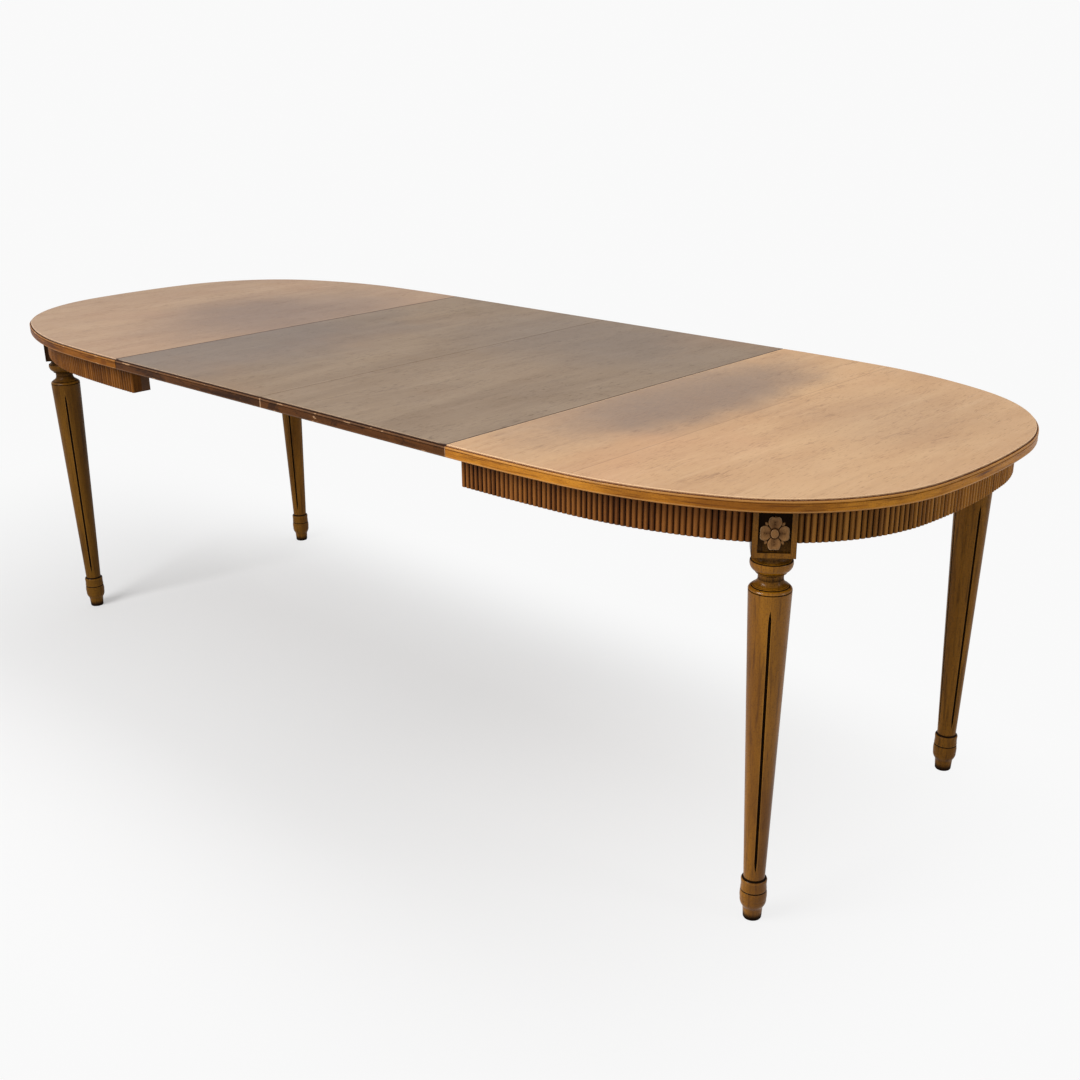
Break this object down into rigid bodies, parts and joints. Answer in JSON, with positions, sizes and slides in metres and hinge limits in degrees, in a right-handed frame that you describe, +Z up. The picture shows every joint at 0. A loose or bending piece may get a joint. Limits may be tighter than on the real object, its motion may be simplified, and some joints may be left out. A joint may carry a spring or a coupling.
{
  "type": "extension dining table with two loose leaves",
  "caption": "Oval extension table: two D-shaped ends on turned, fluted legs with reeded aprons, wooden runners between them, and loose leaves that lift out.",
  "frame": {"origin": "on the floor at the middle of the table", "axes": "+X along the table, the front towards -Y, +Z up"},
  "size_m": [2.4326, 0.994, 0.75],
  "materials": {
    "end_veneer": "worn satin lacquer on bleached light wood, grey smudges near the seams",
    "leaf_veneer": "satin lacquer on grey-brown veneer",
    "end_edge_wood": "satin golden-brown stain",
    "leaf_edge_wood": "satin dark brown stain with small chips",
    "apron_wood": "satin brown stain, dark in the valleys between the reeds",
    "leg_wood": "satin olive-brown stain",
    "runner_wood": "planed bare beech",
    "screw_steel": "plain steel"
  },
  "bodies": {
    "runners": {"front_middle_runner": "runner_wood", "back_middle_runner": "runner_wood", "left_tie": "runner_wood", "right_tie": "runner_wood", "tie_screws": "screw_steel"},
    "left_end": {"left_top_panel": "end_veneer", "left_top_edge": "end_edge_wood", "left_front_apron": "apron_wood", "left_end_apron": "apron_wood", "left_back_apron": "apron_wood", "left_front_leg": "leg_wood", "left_back_leg": "leg_wood", "left_front_rosette": "leg_wood", "left_back_rosette": "leg_wood", "left_front_slide": "runner_wood", "left_back_slide": "runner_wood", "left_slide_screws": "screw_steel", "left_end_blocks": "runner_wood", "left_glue_blocks": "runner_wood", "left_stop_blocks": "runner_wood"},
    "right_end": {"right_top_panel": "end_veneer", "right_top_edge": "end_edge_wood", "right_front_apron": "apron_wood", "right_end_apron": "apron_wood", "right_back_apron": "apron_wood", "right_front_leg": "leg_wood", "right_back_leg": "leg_wood", "right_front_rosette": "leg_wood", "right_back_rosette": "leg_wood", "right_front_slide": "runner_wood", "right_back_slide": "runner_wood", "right_slide_screws": "screw_steel", "right_end_blocks": "runner_wood", "right_glue_blocks": "runner_wood", "right_stop_blocks": "runner_wood"},
    "leaf_1": {"leaf_1_panel": "leaf_veneer", "leaf_1_front_edge": "leaf_edge_wood", "leaf_1_back_edge": "leaf_edge_wood", "leaf_1_front_cleat": "runner_wood", "leaf_1_back_cleat": "runner_wood", "leaf_1_cleat_screws": "screw_steel"},
    "leaf_2": {"leaf_2_panel": "leaf_veneer", "leaf_2_front_edge": "leaf_edge_wood", "leaf_2_back_edge": "leaf_edge_wood", "leaf_2_front_cleat": "runner_wood", "leaf_2_back_cleat": "runner_wood", "leaf_2_cleat_screws": "screw_steel"}
  },
  "joints": [
    {"name": "left_end_pull", "type": "slide", "parent": "runners", "child": "left_end", "axis": [-1, 0, 0], "range_m": [0, 0.06]},
    {"name": "right_end_pull", "type": "slide", "parent": "runners", "child": "right_end", "axis": [1, 0, 0], "range_m": [0, 0.06]},
    {"name": "leaf_1_lift", "type": "slide", "parent": "runners", "child": "leaf_1", "axis": [0, 0, 1], "range_m": [0, 0.2]},
    {"name": "leaf_2_lift", "type": "slide", "parent": "runners", "child": "leaf_2", "axis": [0, 0, 1], "range_m": [0, 0.2]}
  ]
}
